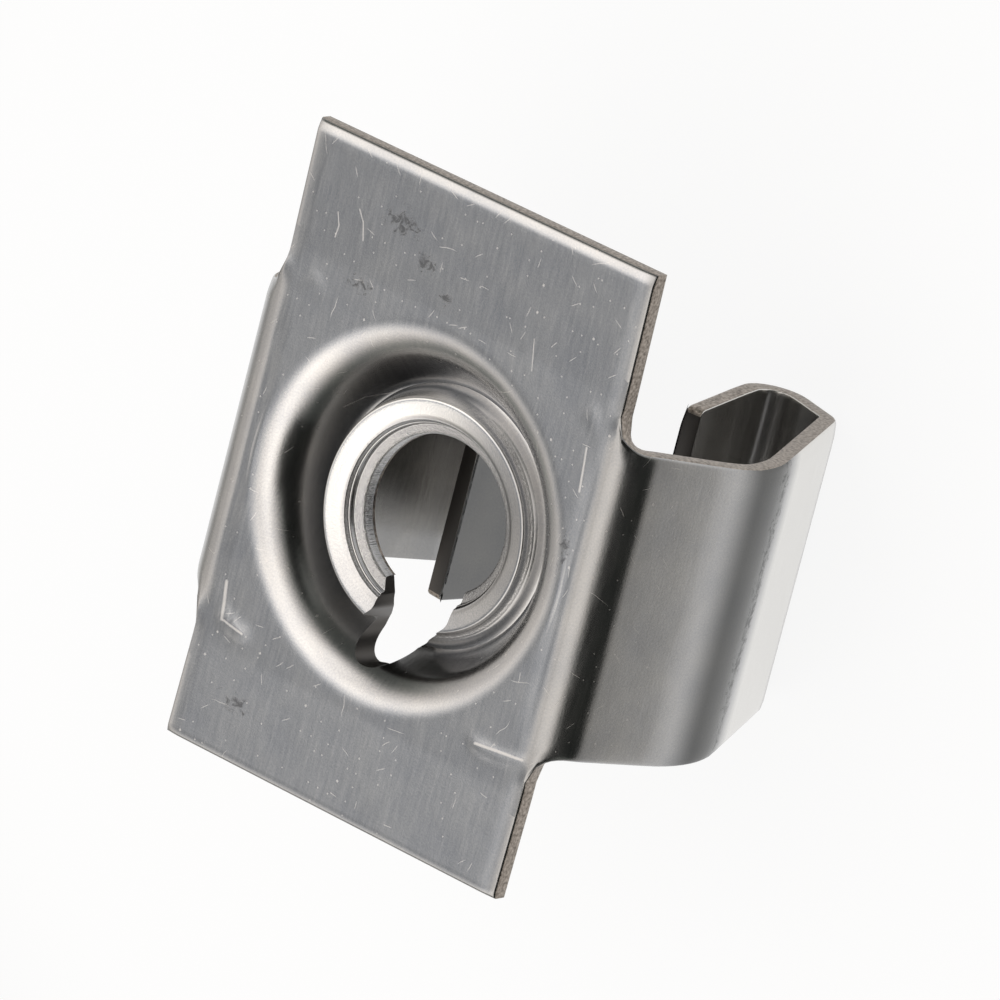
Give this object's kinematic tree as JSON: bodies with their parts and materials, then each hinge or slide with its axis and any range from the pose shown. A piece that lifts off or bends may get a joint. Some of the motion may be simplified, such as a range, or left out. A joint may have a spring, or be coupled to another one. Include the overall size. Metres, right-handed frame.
{
  "type": "u clip speed nut",
  "caption": "U-shaped spring clip nut: a rectangular plate with a dished, slit, single-thread screw hole and two side legs folded down and back into lips.",
  "frame": {"origin": "on the screw axis, in the plane of the plate's flat front face", "axes": "+Z along the screw axis out of the front face, towards the screw's head; +X from leg to leg; +Y along the plate's length, with the collar's slit on the -Y side"},
  "size_m": [0.0188, 0.021, 0.0133],
  "materials": {
    "spring_steel": "satin"
  },
  "bodies": {
    "root": {"clip_nut": "spring_steel"}
  },
  "joints": []
}
